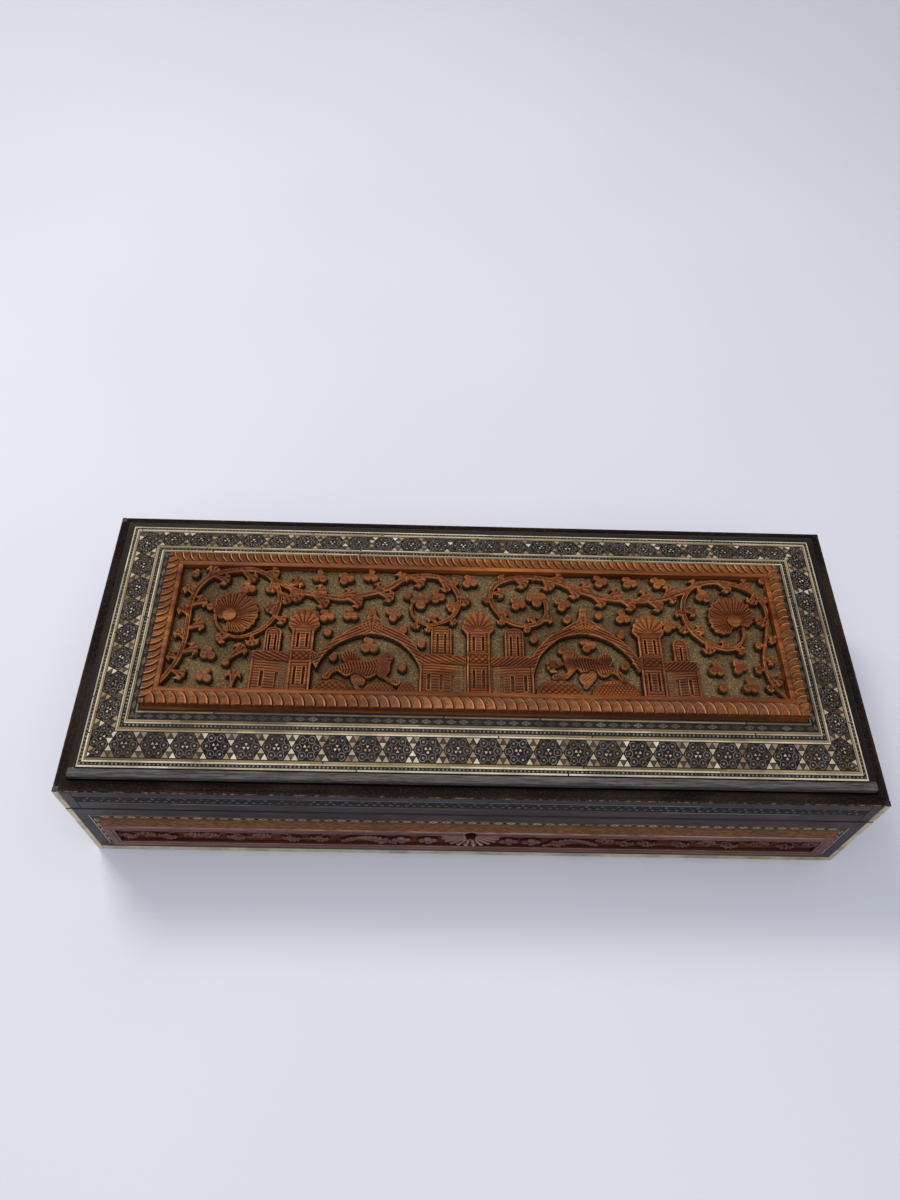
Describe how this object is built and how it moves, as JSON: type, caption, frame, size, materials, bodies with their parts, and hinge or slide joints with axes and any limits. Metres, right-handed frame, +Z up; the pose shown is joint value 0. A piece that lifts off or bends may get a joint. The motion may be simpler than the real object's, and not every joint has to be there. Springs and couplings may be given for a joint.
{
  "type": "carved sandalwood box",
  "caption": "Long low box with a hinged lid: carved wooden panels set in dark wood with bone edges and star-and-triangle mosaic, a keyhole and an inner lock.",
  "frame": {"origin": "middle of the box's flat base, on the surface that it stands on", "axes": "+X along the box to the right seen from the keyhole side, +Y towards the hinges, +Z up"},
  "size_m": [0.2936, 0.1236, 0.0723],
  "materials": {
    "sandalwood": "plain planed sandalwood, satin",
    "carved_sandalwood": "hand-carved sandalwood, waxed, red-brown",
    "ebony": "polished ebony, worn to a low sheen",
    "rosewood": "dark rosewood, low sheen",
    "bone": "aged polished bone",
    "mosaic": "flush micro-mosaic of bone, ebony, tin and stained wood",
    "brass": "aged brass",
    "steel": "worn iron bolt"
  },
  "bodies": {
    "case": {"bottom_board": "sandalwood", "front_board": "sandalwood", "front_base_edging": "bone", "front_facing": "ebony", "front_mosaic_frame": "mosaic", "front_carved_panel": "carved_sandalwood", "right_board": "sandalwood", "right_base_edging": "bone", "right_facing": "ebony", "right_mosaic_frame": "mosaic", "right_carved_panel": "carved_sandalwood", "back_board": "sandalwood", "back_base_edging": "bone", "back_facing": "ebony", "back_mosaic_frame": "mosaic", "back_carved_panel": "carved_sandalwood", "left_board": "sandalwood", "left_base_edging": "bone", "left_facing": "ebony", "left_mosaic_frame": "mosaic", "left_carved_panel": "carved_sandalwood", "case_front_right_corner_strip": "bone", "case_back_right_corner_strip": "bone", "case_back_left_corner_strip": "bone", "case_front_left_corner_strip": "bone", "lock_case": "brass", "hinge_left_lower_leaf": "brass", "hinge_left_pin": "brass", "hinge_left_lower_screw_1": "brass", "hinge_left_lower_screw_2": "brass", "hinge_right_lower_leaf": "brass", "hinge_right_pin": "brass", "hinge_right_lower_screw_1": "brass", "hinge_right_lower_screw_2": "brass"},
    "bolt": {"lock_bolt": "steel"},
    "lid": {"lid_top_board": "rosewood", "lid_bevel_moulding": "ebony", "lid_mosaic_border": "mosaic", "lid_carved_panel": "carved_sandalwood", "lock_link_plate": "brass", "lid_front_rail": "sandalwood", "lid_front_rim_facing": "rosewood", "lid_right_rail": "sandalwood", "lid_right_rim_facing": "rosewood", "lid_back_rail": "sandalwood", "lid_back_rim_facing": "rosewood", "lid_left_rail": "sandalwood", "lid_left_rim_facing": "rosewood", "lid_front_right_corner_strip": "bone", "lid_back_right_corner_strip": "bone", "lid_back_left_corner_strip": "bone", "lid_front_left_corner_strip": "bone", "hinge_left_upper_leaf": "brass", "hinge_left_upper_screw_1": "brass", "hinge_left_upper_screw_2": "brass", "hinge_right_upper_leaf": "brass", "hinge_right_upper_screw_1": "brass", "hinge_right_upper_screw_2": "brass"}
  },
  "joints": [
    {"name": "lid_hinge", "type": "hinge", "parent": "case", "child": "lid", "pos_m": [0, 0.0602, 0.04215], "axis": [-1, 0, 0], "range_deg": [0, 100]},
    {"name": "lock_bolt_slide", "type": "slide", "parent": "case", "child": "bolt", "axis": [1, 0, 0], "range_m": [0, 0.003]}
  ]
}
